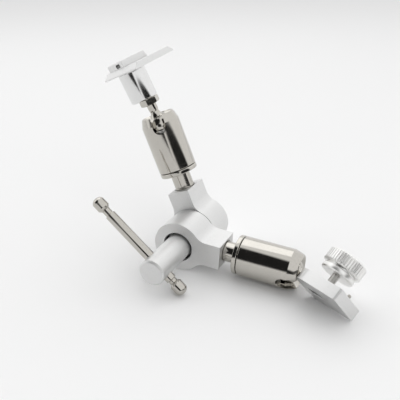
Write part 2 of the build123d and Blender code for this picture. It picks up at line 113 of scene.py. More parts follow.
class ArmSizes(bpy.types.PropertyGroup):
    """Sizes of the arm's visible pieces."""
    barrel_d: length("Barrel", 23.5, "Diameter of a clamp block's barrel")
    block_t: length("Block", 16.0, "Thickness of a clamp block along the spindle")
    seam: length("Seam", 0.3, "Gap between the two clamp blocks")
    neck_reach: length("Neck reach", 20.6, "Spindle axis to the end of a block's neck")
    neck_w: length("Neck width", 11.4, "Width of a block's neck")
    neck_fillet: length("Neck flare", 7.0, "Radius where the neck meets the barrel")
    stub_sunk: length("Stub seat", 0.5, "Depth of the stub's seat in the neck's end")
    cavity_d: length("Cavity", 17.0, "Bore inside a block")
    lip_t: length("Lip", 2.5, "Thickness of the lip round the spindle")
    lip_bore_d: length("Lip bore", 14.2, "Bore of the lip round the spindle")
    spindle_d: length("Spindle", 11.8, "Diameter of the spindle")
    spindle_end: length("Spindle end", 40.6, "Seam to the free end of the spindle")
    bar_at: length("Bar hole", 33.7, "Seam to the sliding bar's hole")
    bar_d: length("Bar", 4.7, "Diameter of the sliding bar")
    bar_waist_d: length("Bar waist", 3.6, "Diameter of the bar's neck next to each knob")
    bar_knob_d: length("Bar knob", 5.7, "Diameter of the knobs on the bar")
    bar_knob_l: length("Bar knob length", 6.5, "Length of the knobs on the bar")
    bar_long: length("Long side", 39.6, "Hole to the far tip of the bar")
    bar_short: length("Short side", 16.05, "Hole to the near tip of the bar")
    stub_d: length("Stub", 9.3, "Diameter of the stub between neck and housing")
    lower_ring_at: length("Lower ring", 26.3, "Spindle axis to the lower end ring")
    upper_ring_at: length("Upper ring", 28.4, "Spindle axis to the upper end ring")
    ring_t: length("Ring", 2.0, "Thickness of an end ring")
    groove: length("Groove", 0.3, "Gap between an end ring and its housing")
    housing_d: length("Housing", 18.0, "Diameter of a ball housing")
    housing_l: length("Housing length", 26.9, "Length of a ball housing")
    core_d: length("Journal", 14.0, "Journal inside a ball housing")
    ball_depth: length("Ball depth", 5.3, "Housing rim to ball centre")
    ball_d: length("Ball", 12.4, "Diameter of a ball")
    slot_w: length("Slot", 6.2, "Width of a housing's slot")
    slot_depth: length("Slot depth", 8.6, "Depth of a housing's slot from its rim")
    stem_d: length("Stem", 4.6, "Diameter of a stud's stem")
    nut_at: length("Nut", 10.8, "Ball centre to the jam nut")
    nut_af: length("Nut flats", 8.2, "Width across the jam nut's flats")
    nut_t: length("Nut thickness", 3.1, "Thickness of the jam nut")
    socket_d: length("Socket", 12.7, "Diameter of the head socket")
    socket_t: length("Socket length", 14.2, "Length of the head socket")
    socket_off: length("Socket offset", 1.6, "Head socket's axis beside the stud's axis")
    head_x: length("Head width", 23.4, "Head plate across its bevels' direction")
    head_y: length("Head length", 24.8, "Head plate from bevel to bevel")
    head_t: length("Head thickness", 2.8, "Thickness of the head plate")
    head_bevel: length("Head bevel", 2.5, "How far the head plate's bevels run in")
    pad_x: length("Pad width", 10.8, "Width of the raised pad")
    pad_y: length("Pad length", 15.6, "Length of the raised pad")
    pad_t: length("Pad height", 3.0, "Height of the raised pad")
    pad_in: length("Pad inset", 2.6, "Head plate's edges to the raised pad")
    clamp_at: length("Clamp plate", 10.2, "Ball centre to the clamp plate")
    clamp_l: length("Clamp length", 23.0, "Length of the clamp plate along its stud")
    clamp_w: length("Clamp width", 19.5, "Width of the clamp plate")
    clamp_t: length("Clamp thickness", 5.2, "Thickness of the clamp plate")
    screw_at: length("Screw", 21.0, "Ball centre to the thumb screw's axis")
    screw_d: length("Screw diameter", 3.4, "Diameter of the thumb screw's stem")
    window_l: length("Window length", 8.2, "Length of the clamp plate's window")
    window_w: length("Window width", 4.2, "Width of the clamp plate's window")
    window_depth: length("Window depth", 2.7, "Depth of the clamp plate's window")
    knob_d: length("Thumb knob", 17.0, "Diameter of the thumb knob")
    knob_t: length("Drum", 5.9, "Length of the thumb knob's fluted drum")
    knob_at: length("Knob gap", 5.5, "Clamp plate's back to the thumb knob")
    flange_d: length("Flange", 14.8, "Diameter of the thumb knob's flange")
    flange_t: length("Flange thickness", 2.3, "Thickness of the thumb knob's flange")
    flutes: IntProperty(name="Flutes", description="Flutes round the thumb knob", default=40, min=8)
    lower_slot: FloatProperty(name="Lower slot", description="Bearing of the lower housing's slot",
                              default=math.radians(202), subtype="ANGLE", unit="ROTATION")
    upper_slot: FloatProperty(name="Upper slot", description="Bearing of the upper housing's slot",
                              default=math.radians(205), subtype="ANGLE", unit="ROTATION")


class ArmColours(bpy.types.PropertyGroup):
    """Colours of the arm's metals and its stage."""
    block: colour("Blocks", (0.78, 0.78, 0.775), "Bead-blasted aluminium")
    plate: colour("Plates", (0.76, 0.76, 0.755), "Brushed aluminium")
    steel: colour("Steel", (0.54, 0.52, 0.48), "Polished steel")
    turned: colour("Turned steel", (0.55, 0.54, 0.52), "Ground steel of the inner pieces")
    knob: colour("Thumb knob", (0.90, 0.895, 0.88), "Bright fluted steel")
    bronze: colour("Bronze", (0.55, 0.34, 0.13), "Bearing bronze")
    dark: colour("Dark steel", (0.03, 0.03, 0.032), "Black oxide")
    floor: colour("Floor", (0.87, 0.87, 0.87), "Pale floor")


# ---------------------------------------------------------------- mesh code
def softened(corners, radius, steps=3, closed=True):
    """Profile with each corner replaced by a small arc of that radius."""
    n, out = len(corners), []
    for i, here in enumerate(corners):
        p = Vector(here)
        if not closed and i in (0, n - 1):
            out.append(p)
            continue
        a, b = Vector(corners[i - 1]) - p, Vector(corners[(i + 1) % n]) - p
        if a.length < 1e-9 or b.length < 1e-9:
            out.append(p)
            continue
        turn = a.angle(b)
        if turn > math.radians(168) or p.x < 1e-7:
            out.append(p)
            continue
        back = min(radius / math.tan(turn / 2), 0.42 * a.length, 0.42 * b.length)
        start, end = p + a.normalized() * back, p + b.normalized() * back
        for k in range(steps + 1):
            t = k / steps
            out.append((1 - t) ** 2 * start + 2 * t * (1 - t) * p + t * t * end)
    return out


def turned_mesh(name, profile, segments=144, closed=False, reach=None):
    """Mesh turned about Z from (radius, height) points; reach(angle, radius, height) may change a radius."""
    mesh, bm = bpy.data.meshes.new(name), bmesh.new()
    rings = []
    for r, z in profile:
        if r < 1e-7:
            rings.append([bm.verts.new((0, 0, z))])
            continue
        ring = []
        for k in range(segments):
            a = TAU * k / segments
            rr = reach(a, r, z) if reach else r
            ring.append(bm.verts.new((rr * math.cos(a), rr * math.sin(a), z)))
        rings.append(ring)
    pairs = list(zip(rings, rings[1:]))
    if closed:
        pairs.append((rings[-1], rings[0]))
    for lo, hi in pairs:
        for k in range(segments):
            quad = [lo[k % len(lo)], lo[(k + 1) % len(lo)], hi[(k + 1) % len(hi)], hi[k % len(hi)]]
            face = list(dict.fromkeys(quad))
            if len(face) > 2:
                bm.faces.new(face)
    bmesh.ops.recalc_face_normals(bm, faces=bm.faces)
    bm.to_mesh(mesh)
    bm.free()
    return mesh


def plate_mesh(name, outline, low, high):
    """Prism over a closed (x, y) outline from z low to z high."""
    mesh, bm = bpy.data.meshes.new(name), bmesh.new()
    lower = [bm.verts.new((x, y, low)) for x, y in outline]
    upper = [bm.verts.new((x, y, high)) for x, y in outline]
    bm.faces.new(lower[::-1])
    bm.faces.new(upper)
    n = len(outline)
    for k in range(n):
        bm.faces.new((lower[k], lower[(k + 1) % n], upper[(k + 1) % n], upper[k]))
    bmesh.ops.recalc_face_normals(bm, faces=bm.faces)
    bm.to_mesh(mesh)
    bm.free()
    return mesh


def rod_mesh(radius, low, high, segments=64):
    return turned_mesh("cutter", [(0, low), (radius, low), (radius, high), (0, high)], segments)


def moved(mesh, matrix):
    mesh.transform(matrix)
    return mesh


def cut(mesh, *cutters, join=False):
    """mesh with the cutter meshes taken away."""
    scene = bpy.context.scene
    body = bpy.data.objects.new("cut_body", mesh)
    scene.collection.objects.link(body)
    tools = []
    for cutter in cutters:
        tool = bpy.data.objects.new("cut_tool", cutter)
        scene.collection.objects.link(tool)
        tools.append(tool)
        step = body.modifiers.new("cut", "BOOLEAN")
        step.object, step.solver = tool, "EXACT"
        step.operation = "UNION" if join else "DIFFERENCE"
    bpy.context.view_layer.update()
    result = bpy.data.meshes.new_from_object(body.evaluated_get(bpy.context.evaluated_depsgraph_get()))
    for ob in [body] + tools:
        bpy.data.objects.remove(ob)
    return result


ALONG_X = Matrix.Rotation(math.pi / 2, 4, "Y")     # Z turned to X
PRISM_ON_X = Matrix(((0, 0, 1, 0), (1, 0, 0, 0), (0, 1, 0, 0), (0, 0, 0, 1)))     # X, Y, Z turned to Y, Z, X


def arc(cx, cy, r, a0, a1, steps):
    return [(cx + r * math.cos(a0 + (a1 - a0) * k / steps), cy + r * math.sin(a0 + (a1 - a0) * k / steps))
            for k in range(steps + 1)]


def rounded_slot(half_x, half_y, corner, middle_y, steps):
    """Outline of a rectangle with round corners, its middle at (0, middle_y)."""
    outline = []
    for sx, sy, q in ((1, 1, 0), (-1, 1, 1), (-1, -1, 2), (1, -1, 3)):
        outline += arc(sx * (half_x - corner), middle_y + sy * (half_y - corner), corner,
                       q * math.pi / 2, (q + 1) * math.pi / 2, steps)
    return outline


def add_piece(name, mesh, place, body, nodes, material, bevel=0.0, crease=32):
    """Adds a finished piece that stands for CAD nodes and rides on their body."""
    mesh.transform(place)
    piece = bpy.data.objects.new(name, mesh)
    bpy.context.scene.collection.objects.link(piece)
    mesh.materials.clear()
    mesh.materials.append(material(place))
    mesh.shade_smooth()
    if bevel:
        edge = piece.modifiers.new("edge", "BEVEL")
        edge.width, edge.segments, edge.limit_method = bevel, 3, "ANGLE"
        edge.angle_limit, edge.harden_normals = math.radians(crease), True
        edge.use_clamp_overlap = True
    mesh.set_sharp_from_angle(angle=math.radians(crease))
    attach(piece, body)
    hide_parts(*nodes)
    return piece


# ---------------------------------------------------------------- finishes
def node(tree, kind, **sockets):
    """New shader node with its inputs set or linked by name."""
    made = tree.nodes.new(kind)
    for key, value in sockets.items():
        if key.startswith("_"):
            setattr(made, key[1:], value)
            continue
        by_place = key[0] == "i" and key[1:].isdigit()
        socket = made.inputs[int(key[1:]) if by_place else key.replace("_", " ")]
        if isinstance(value, bpy.types.NodeSocket):
            tree.links.new(value, socket)
        else:
            socket.default_value = value
    return made


def metal(name, base, roughness, spread, lay, place, grain=0.0, line=0.0, uneven=0.05):
    """Procedural metal laid along place's axes.

    lay is turned, brushed or blasted; line and grain are bump heights.
    """
    name = f"{name}_{SEAT_NAMES.setdefault(tuple(round(v, 6) for row in place for v in row), len(SEAT_NAMES))}"
    if name in bpy.data.materials:
        return bpy.data.materials[name]
    mat = bpy.data.materials.new(name)
    mat.use_nodes = True
    tree = mat.node_tree
    shader = tree.nodes["Principled BSDF"]
    shader.inputs["Metallic"].default_value = 1.0
    here = node(tree, "ShaderNodeTexCoord").outputs["Object"]
    inverse = place.inverted()
    here = node(tree, "ShaderNodeMapping", Vector=here, Location=inverse.translation,
                Rotation=inverse.to_euler("XYZ")).outputs[0]
    stretch = {"turned": (90, 90, 9000), "brushed": (150, 9000, 150), "blasted": (5200, 5200, 5200)}[lay]
    fine = node(tree, "ShaderNodeMapping", Vector=here, Scale=stretch).outputs[0]
    lines = node(tree, "ShaderNodeTexNoise", Vector=fine, Scale=1.0, Detail=3.0, Roughness=0.6).outputs["Fac"]
    cloud = node(tree, "ShaderNodeTexNoise", Vector=here, Scale=170.0, Detail=4.0,
                 Roughness=0.55).outputs["Fac"]
    speck = node(tree, "ShaderNodeTexNoise", Vector=here, Scale=1500.0, Detail=2.0).outputs["Fac"]
    mixed = node(tree, "ShaderNodeMath", _operation="MULTIPLY_ADD", i0=lines, i1=0.6, i2=cloud).outputs[0]
    rough = node(tree, "ShaderNodeMapRange", Value=mixed, From_Min=0.5, From_Max=1.15,
                 To_Min=max(0.02, roughness - spread), To_Max=roughness + spread).outputs[0]
    tree.links.new(rough, shader.inputs["Roughness"])
    tone = node(tree, "ShaderNodeMapRange", Value=cloud, From_Min=0.3, From_Max=0.7,
                To_Min=1.0 - uneven, To_Max=1.0).outputs[0]
    dirt = node(tree, "ShaderNodeMapRange", Value=speck, From_Min=0.30, From_Max=0.42,
                To_Min=1.0 - uneven * 1.5, To_Max=1.0).outputs[0]
    both = node(tree, "ShaderNodeMath", _operation="MULTIPLY", i0=tone, i1=dirt).outputs[0]
    tint = node(tree, "ShaderNodeVectorMath", _operation="SCALE", Vector=(*base, ), Scale=both).outputs[0]
    tree.links.new(tint, shader.inputs["Base Color"])
    height = lines
    if grain:
        height = node(tree, "ShaderNodeMath", _operation="MULTIPLY_ADD", i0=speck, i1=0.5, i2=lines).outputs[0]
    bump = node(tree, "ShaderNodeBump", Height=height, Strength=1.0, Distance=max(line, grain))
    tree.links.new(bump.outputs[0], shader.inputs["Normal"])
    return mat


def finishes():
    """The arm's finishes by slot; each takes the placement whose axes its grain follows."""
    c = bpy.context.scene.arm_colours
    return {
        "block_aluminium": lambda at: metal("blasted_aluminium", c.block, 0.55, 0.05, "blasted", at,
                                            grain=7e-6, uneven=0.03),
        "plate_aluminium": lambda at: metal("brushed_aluminium", c.plate, 0.36, 0.06, "brushed", at,
                                            line=1.5e-6, uneven=0.03),
        "turned_aluminium": lambda at: metal("turned_aluminium", c.plate, 0.12, 0.03, "turned", at,
                                             line=1.2e-6, uneven=0.03),
        "polished_steel": lambda at: metal("polished_steel", c.steel, 0.11, 0.04, "turned", at, line=4e-7),
        "turned_steel": lambda at: metal("ground_steel", c.turned, 0.26, 0.06, "turned", at, line=1e-6),
        "knurled_steel": lambda at: metal("fluted_steel", c.knob, 0.33, 0.05, "turned", at, line=1e-6),
        "bronze": lambda at: metal("bearing_bronze", c.bronze, 0.30, 0.06, "turned", at, line=1e-6),
        "dark_steel": lambda at: metal("black_oxide", c.dark, 0.38, 0.06, "blasted", at, grain=2e-6),
    }


# ---------------------------------------------------------------- clamp blocks and spindle
def block_outline(s):
    """Barrel with a neck toward +X, with tangent fillets between them."""
    r, w, f, end = s.barrel_d / 2, s.neck_w / 2, s.neck_fillet, s.neck_reach
    cx, cy = math.sqrt((r + f) ** 2 - (w + f) ** 2), w + f
    lean = math.atan2(cy, cx)
    top = [(end, w)] + arc(cx, cy, f, -math.pi / 2, lean - math.pi, 18)
    round_back = arc(0, 0, r, lean, TAU - lean, 150)[1:-1]
    return top + round_back + [(x, -y) for x, y in reversed(top)]


def block_mesh(s, name):
    return plate_mesh(name, block_outline(s), s.seam / 2, s.block_t)


def across(radius, x0, x1, z):
    """Cutter along X at height z."""
    return moved(rod_mesh(radius, x0, x1), Matrix.Translation((0, 0, z)) @ ALONG_X)


def neck_bores(s):
    """Cutters for the stub's spigot and for its seat in the neck's end."""
    mid, out = s.block_t / 2, s.neck_reach + MM
    return [across(3.5 * MM, 14.0 * MM, out, mid),
            across(s.stub_d / 2 + 0.4 * MM, s.neck_reach - s.stub_sunk, out, mid)]


class ARM_OT_clamp_blocks(bpy.types.Operator):
    """Front and rear clamp blocks and the rear cap"""
    bl_idname = "arm.clamp_blocks"
    bl_label = "Clamp blocks"

    def execute(self, context):
        s, look = context.scene.arm_sizes, finishes()
        front = cut(block_mesh(s, "front_block"),
                    rod_mesh(s.cavity_d / 2, -MM, s.block_t - s.lip_t, 96),
                    rod_mesh(s.lip_bore_d / 2, 0, s.block_t + MM, 96), *neck_bores(s))
        add_piece("front_block_body", front, FRONT_SEAT, "front_arm", ["front_block"],
                  look["block_aluminium"], 0.4 * MM)
        rear = cut(block_mesh(s, "rear_block"),
                   rod_mesh(s.cavity_d / 2, -MM, s.block_t - 3 * MM, 96),
                   rod_mesh(9.5 * MM, s.block_t - 3 * MM, s.block_t + MM, 96), *neck_bores(s))
        add_piece("rear_block_body", rear, REAR_SEAT, "rear_arm", ["rear_block"],
                  look["block_aluminium"], 0.4 * MM)
        top = s.block_t - 0.3 * MM
        profile = softened([(0, top - 2.65 * MM), (9.45 * MM, top - 2.65 * MM), (9.45 * MM, top - 0.4 * MM),
                            (9.05 * MM, top), (3.2 * MM, top), (2.9 * MM, top - 0.25 * MM), (0, top - 0.25 * MM)],
                           0.12 * MM, closed=False)
        cap = cut(turned_mesh("rear_cap", profile),
                  *[moved(rod_mesh(MM, top - 1.5 * MM, top + MM, 32), Matrix.Translation((x * MM, 0, 0)))
                    for x in (-6, 6)])
        add_piece("rear_cap_disc", cap, REAR_SEAT, "rear_arm", ["rear_cap"],
                  look["turned_aluminium"], 0.1 * MM)
        return {"FINISHED"}


class ARM_OT_spindle(bpy.types.Operator):
    """Spindle with its flange, inner bore and cross hole"""
    bl_idname = "arm.spindle"
    bl_label = "Spindle"

    def execute(self, context):
        s, look = context.scene.arm_sizes, finishes()
        r, end, root = s.spindle_d / 2, s.spindle_end, s.block_t - s.lip_t - 0.65 * MM
        inner = 3.05 * MM
        profile = softened([(inner, 10.9 * MM), (8.15 * MM, 10.9 * MM), (8.45 * MM, 11.2 * MM), (8.45 * MM, root),
                            (r, root), (r, end - 0.8 * MM), (r - 0.8 * MM, end), (0, end)],
                           0.16 * MM, closed=False)
        bore = [(0, 25 * MM), (inner, 24 * MM)]
        body = turned_mesh("spindle", profile + bore, closed=True)
        bar = joint_axis("bar_slide")
        hole = moved(rod_mesh(s.bar_d / 2 + 0.05 * MM, -9 * MM, 9 * MM, 64),
                     FRONT_SEAT.inverted() @ seat(PIVOT + FORWARD * s.bar_at, bar, FORWARD))
        add_piece("spindle_body", cut(body, hole), FRONT_SEAT, "spindle", ["spindle"],
                  look["block_aluminium"], 0.18 * MM)
        return {"FINISHED"}


class ARM_OT_sliding_bar(bpy.types.Operator):
    """Sliding bar and the knob on each of its ends"""
    bl_idname = "arm.sliding_bar"
    bl_label = "Sliding bar"

    def execute(self, context):
        s, look = context.scene.arm_sizes, finishes()
        steel = look["polished_steel"]
        place = seat(PIVOT + FORWARD * s.bar_at, joint_axis("bar_slide"), FORWARD)
        r, waist, spigot = s.bar_d / 2, s.bar_waist_d / 2, 1.25 * MM
        a, b = -s.bar_long + s.bar_knob_l, s.bar_short - s.bar_knob_l
        profile = softened([(0, a - 3 * MM), (spigot, a - 3 * MM), (spigot, a), (waist, a), (waist, a + 2.6 * MM),
                            (r, a + 2.9 * MM), (r, b - 1.7 * MM), (waist, b - 1.4 * MM), (waist, b), (spigot, b),
                            (spigot, b + 3 * MM), (0, b + 3 * MM)], 0.12 * MM, closed=False)
        add_piece("sliding_bar_rod", turned_mesh("sliding_bar", profile, 96), place, "sliding_bar",
                  ["sliding_bar"], steel)
        n, k = s.bar_knob_l, s.bar_knob_d / 2
        far = place @ Matrix.Translation((0, 0, a)) @ Matrix.Rotation(math.pi, 4, "X")
        near = place @ Matrix.Translation((0, 0, b))
        for name, end in (("bar_end_long", far), ("bar_end_short", near)):
            dome = [(k * math.cos(t), n - 2.2 * MM + 2.2 * MM * math.sin(t))
                    for t in [math.pi / 2 * i / 14 for i in range(14)]]
            shape = softened([(spigot, 0), (waist, 0), (k, 1.1 * MM), (k, 1.9 * MM)], 0.15 * MM, closed=False)
            knob = turned_mesh(name, [(spigot, 3 * MM)] + shape + dome + [(0, n)], 96)
            add_piece(name + "_knob", knob, end, "sliding_bar", [name], steel)
        return {"FINISHED"}


# ---------------------------------------------------------------- arms
class ARM_OT_stubs(bpy.types.Operator):
    """Stub and end ring of each arm"""
    bl_idname = "arm.stubs"
    bl_label = "Stubs and end rings"

    def execute(self, context):
        s, look = context.scene.arm_sizes, finishes()
        for side, body in (("lower", "front_arm"), ("upper", "rear_arm")):
            at = getattr(s, side + "_ring_at")
            foot, r, j = at + s.ring_t + s.groove, s.stub_d / 2, s.core_d / 2
            top = foot + 12.3 * MM
            bore, low = 2.05 * MM, s.neck_reach - s.stub_sunk
            profile = softened([(bore, 14.2 * MM), (3.5 * MM, 14.2 * MM), (3.5 * MM, low),
                                (r - 0.3 * MM, low), (r, low + 0.3 * MM), (r, foot),
                                (j, foot), (j, foot + 9.9 * MM), (j - 0.8 * MM, foot + 9.9 * MM),
                                (j - 0.8 * MM, foot + 10.9 * MM), (j, foot + 10.9 * MM),
                                (j, top - 0.4 * MM), (j - 0.4 * MM, top), (bore, top)], 0.1 * MM)
            add_piece(side + "_stub", turned_mesh(side + "_core", profile, closed=True), ARM_SEATS[side], body,
                      [side + "_core"], look["polished_steel"])
            h = s.housing_d / 2
            ring = softened([(r, at), (h - 0.25 * MM, at), (h, at + 0.25 * MM), (h, at + s.ring_t - 0.25 * MM),
                             (h - 0.25 * MM, at + s.ring_t), (r, at + s.ring_t)], 0.12 * MM)
            add_piece(side + "_end_collar", turned_mesh(side + "_end_ring", ring, closed=True), ARM_SEATS[side],
                      body, [side + "_end_ring"], look["polished_steel"])
        return {"FINISHED"}


class ARM_OT_housings(bpy.types.Operator):
    """Slotted ball housings"""
    bl_idname = "arm.housings"
    bl_label = "Ball housings"

    def execute(self, context):
        s, look = context.scene.arm_sizes, finishes()
        for side in ("lower", "upper"):
            foot = getattr(s, side + "_ring_at") + s.ring_t + s.groove
            rim = foot + s.housing_l
            ball = rim - s.ball_depth
            r, bore, hollow = s.housing_d / 2, s.core_d / 2 + 0.05 * MM, s.ball_d / 2 + 0.15 * MM
            outside = softened([(bore, foot), (r - 0.25 * MM, foot), (r, foot + 0.25 * MM), (r, rim - 4.2 * MM),
                                (r - 1.3 * MM, rim - 0.35 * MM), (r - 1.65 * MM, rim), (r - 1.85 * MM, rim),
                                (5.6 * MM, ball + 2.97 * MM)], 0.16 * MM, 4, closed=False)
            lip = math.asin(2.97 * MM / hollow)
            dish = [(hollow * math.cos(lip * (1 - i / 8)), ball + hollow * math.sin(lip * (1 - i / 8)))
                    for i in range(1, 9)]
            shell = turned_mesh(side + "_housing", outside + dish + [(bore, ball)], 192, closed=True)
            floor = rim - s.slot_depth + s.slot_w / 2
            w = s.slot_w / 2
            u_shape = arc(0, 0, w, math.pi, TAU, 32) + [(w, rim - floor + 2 * MM), (-w, rim - floor + 2 * MM)]
            slot = moved(plate_mesh("cutter", u_shape, 0, 2 * r),
                         Matrix.Translation((0, 0, floor)) @ PRISM_ON_X)
            bearing = getattr(s, side + "_slot")
            tools = [moved(slot, Matrix.Rotation(bearing, 4, "Z"))]
            mark_at = bearing + math.radians(-24 if side == "upper" else 160)
            deep, wide = 0.15 * MM, 0.11 * MM
            mark = plate_mesh("cutter", [(-deep, -wide), (deep, -wide), (deep, wide), (-deep, wide)],
                              foot + 1.1 * MM, foot + 12.1 * MM)
            tools.append(moved(mark, Matrix.Rotation(mark_at, 4, "Z") @ Matrix.Translation((r, 0, 0))))
            add_piece(side + "_housing_sleeve", cut(shell, *tools), ARM_SEATS[side], side + "_housing",
                      [side + "_housing"], look["polished_steel"], 0.12 * MM, 38)
        return {"FINISHED"}


def stud_profile(s, top, spigot=None):
    """Ball, waisted neck and stem up to height top, ending in a spigot where one is given."""
    r, ball = s.stem_d / 2, s.ball_d / 2
    start = math.asin(4.55 / 6.2)
    body = [(ball * math.cos(t), ball * math.sin(t))
            for t in [-math.pi / 2 + (start + math.pi / 2) * i / 48 for i in range(49)]]
    body[0] = (0, -ball)
    neck = softened([body[-1], (3.3 * MM, 4.6 * MM), (2.35 * MM, 6.2 * MM), (2.05 * MM, 7.2 * MM), (r, 8.4 * MM),
                     (r, top - 0.3 * MM), (r - 0.3 * MM, top)], 0.5 * MM, 5, closed=False)[1:]
    end = [(0, top)] if spigot is None else [(spigot[0], top), (spigot[0], spigot[1]), (0, spigot[1])]
    return body + neck + end


class ARM_OT_ball_studs(bpy.types.Operator):
    """Ball studs of both arms"""
    bl_idname = "arm.ball_studs"
    bl_label = "Ball studs"

    def execute(self, context):
        s, look = context.scene.arm_sizes, finishes()
        top = s.nut_at + s.nut_t + 7.5 * MM
        add_piece("upper_ball_and_stem", turned_mesh("upper_stud", stud_profile(s, top)), UPPER_STUD_SEAT,
                  "upper_ball_stud", ["upper_ball_stud"], look["polished_steel"])
        low = turned_mesh("lower_stud", stud_profile(s, s.clamp_at - 0.1 * MM, (1.7 * MM, s.clamp_at + 3.5 * MM)))
        add_piece("lower_ball_and_stem", low, LOWER_STUD_SEAT, "lower_ball_stud", ["lower_ball_stud"],
                  look["polished_steel"])
        return {"FINISHED"}


# ---------------------------------------------------------------- head
def hex_reach(flats, dome_r, low, high):
    """Radius of a hexagon whose corners are cut by a cone at both faces."""
    def reach(angle, r, z):
        if r < flats * 0.4:
            return r
        side = (angle % (TAU / 6)) - TAU / 12
        flat = flats / 2 / math.cos(side)
        edge = min(z - low, high - z)
        cone = flats / 2 * 0.98 + edge * 1.9
        return min(flat, cone, dome_r)
    return reach


class ARM_OT_head(bpy.types.Operator):
    """Jam nut, socket, bevelled plate, raised pad and screw of the head"""
    bl_idname = "arm.head"
    bl_label = "Head"

    def execute(self, context):
        s, look = context.scene.arm_sizes, finishes()
        place, low, high = UPPER_STUD_SEAT, s.nut_at, s.nut_at + s.nut_t
        bore = s.stem_d / 2 + 0.05 * MM
        big = s.nut_af
        steps = [low + (high - low) * i / 20 for i in range(21)]
        profile = ([(bore, low + 0.3 * MM), (bore + 0.3 * MM, low), (s.nut_af * 0.47, low)]
                   + [(big, z) for z in steps] + [(s.nut_af * 0.47, high), (bore, high)])
        nut = turned_mesh("jam_nut", profile, 192, closed=True, reach=hex_reach(s.nut_af, 4.72 * MM, low, high))
        add_piece("jam_nut_hexagon", nut, place, "head", ["jam_nut"], look["polished_steel"],
                  crease=28)
        top = high + s.socket_t
        r = s.socket_d / 2
        offset = Matrix.Rotation(math.radians(230), 4, "Z") @ Matrix.Translation((s.socket_off, 0, 0))
        profile = softened([(0, high), (r - 0.5 * MM, high), (r, high + 0.5 * MM), (r, top - 0.3 * MM),
                            (r - 0.3 * MM, top), (0, top)], 0.12 * MM, closed=False)
        sleeve = turned_mesh("head_socket", profile)
        back = offset.inverted()
        hole = moved(rod_mesh(bore, high - MM, high + 8 * MM), back)
        add_piece("head_socket_sleeve", cut(sleeve, hole), place @ offset, "head", ["head_socket"],
                  look["turned_aluminium"], 0.08 * MM)
        cx, cy = 1.8 * MM, 2.1 * MM
        half, flat, t = s.head_y / 2, s.head_y / 2 - s.head_bevel, s.head_t
        trapezoid = [(-half, 0), (half, 0), (half, 0.6 * MM), (flat, t), (-flat, t), (-half, 0.6 * MM)]
        plate = moved(plate_mesh("head_plate", trapezoid, -s.head_x / 2, s.head_x / 2),
                      Matrix.Translation((cx, cy, top)) @ PRISM_ON_X)
        pad_cx = cx - s.head_x / 2 + s.pad_in + s.pad_x / 2
        pad_cy = cy - s.head_y / 2 + s.pad_in + s.pad_y / 2
        holes = [moved(rod_mesh(1.25 * MM, -9 * MM, 9 * MM, 48),
                       place.inverted() @ seat(p, joint_axis("head_spin"), FORWARD)) for p in (HOLE_IN, HOLE_OUT)]
        holes.append(moved(rod_mesh(1.5 * MM, top - MM, top + 9 * MM, 48),
                           Matrix.Translation((pad_cx, pad_cy, 0))))
        add_piece("head_plate_bevelled", cut(plate, *holes), place, "head", ["head_plate"],
                  look["plate_aluminium"], 0.15 * MM)
        ph, pz = s.pad_y / 2, top + t
        pad_side = [(-ph, 0), (ph, 0), (ph - 1.2 * MM, s.pad_t), (-ph + 0.3 * MM, s.pad_t),
                    (-ph, s.pad_t - 0.3 * MM)]
        pad = moved(plate_mesh("head_pad", pad_side, -s.pad_x / 2, s.pad_x / 2),
                    Matrix.Translation((pad_cx, pad_cy, pz)) @ PRISM_ON_X)
        sink = turned_mesh("cutter", [(0, -MM), (1.5 * MM, -MM), (1.5 * MM, 1.5 * MM), (2.75 * MM, s.pad_t),
                                      (2.75 * MM, s.pad_t + MM), (0, s.pad_t + MM)], 64)
        slot = moved(plate_mesh("cutter", rounded_slot(1.5 * MM, 0.8 * MM, 0.7 * MM, 0, 6), -2.5 * MM, 2.5 * MM),
                     Matrix.Translation((pad_cx + s.pad_x / 2 - 3.4 * MM, pad_cy - ph, pz + 1.2 * MM))
                     @ Matrix.Rotation(math.pi / 2, 4, "X"))
        pad = cut(pad, moved(sink, Matrix.Translation((pad_cx, pad_cy, pz))), slot)
        add_piece("head_pad_raised", pad, place, "head", ["head_pad"],
                  look["plate_aluminium"], 0.15 * MM)
        foot, crown, shank = -t + 0.1 * MM, s.pad_t - 0.1 * MM, 1.45 * MM
        profile = softened([(0, foot), (shank, foot), (shank, 1.5 * MM), (2.5 * MM, crown), (0, crown)],
                           0.1 * MM, closed=False)
        screw = turned_mesh("head_screw", profile, 64)
        hexagon = [(1.15 * MM * math.cos(TAU * k / 6), 1.15 * MM * math.sin(TAU * k / 6)) for k in range(6)]
        screw = cut(screw, plate_mesh("cutter", hexagon, s.pad_t - 1.4 * MM, s.pad_t + MM))
        add_piece("head_screw_countersunk", screw, place @ Matrix.Translation((pad_cx, pad_cy, pz)), "head",
                  ["head_screw"], look["dark_steel"], 0.06 * MM)
        return {"FINISHED"}


